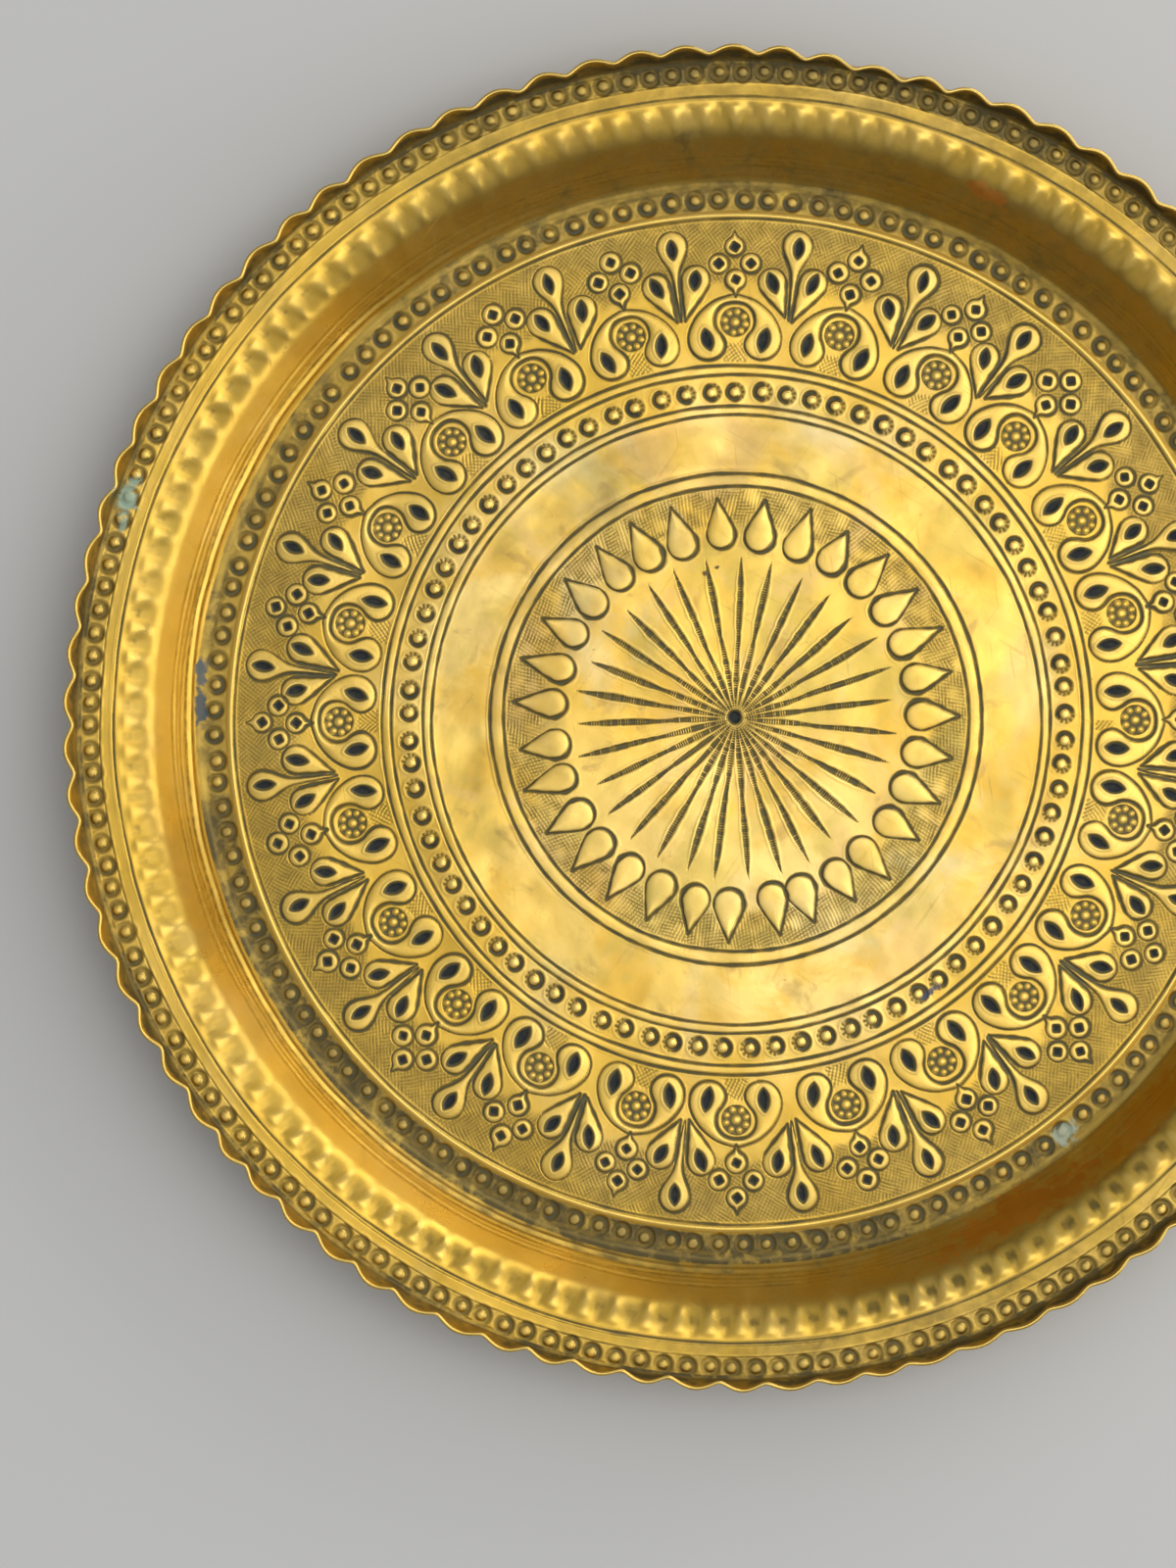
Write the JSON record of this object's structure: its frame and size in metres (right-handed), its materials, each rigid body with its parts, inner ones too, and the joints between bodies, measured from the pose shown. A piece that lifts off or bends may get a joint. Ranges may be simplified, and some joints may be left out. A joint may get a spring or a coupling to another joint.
{
  "type": "tray",
  "caption": "Round brass serving tray: flat chased floor, sloping wall, level flange and a thin upright scalloped lip, raised from a single sheet.",
  "frame": {"origin": "centre of the tray's round outline, at the level of the flat underside it stands on", "axes": "+Z along the tray's axis, up out of the well; +X and +Y in the plane of the floor"},
  "size_m": [0.3556, 0.3558, 0.025],
  "materials": {
    "brass": "hand-chased golden brass, worn polish with dark patina in the grooves and punch marks"
  },
  "bodies": {
    "root": {"tray_body": "brass"}
  },
  "joints": []
}
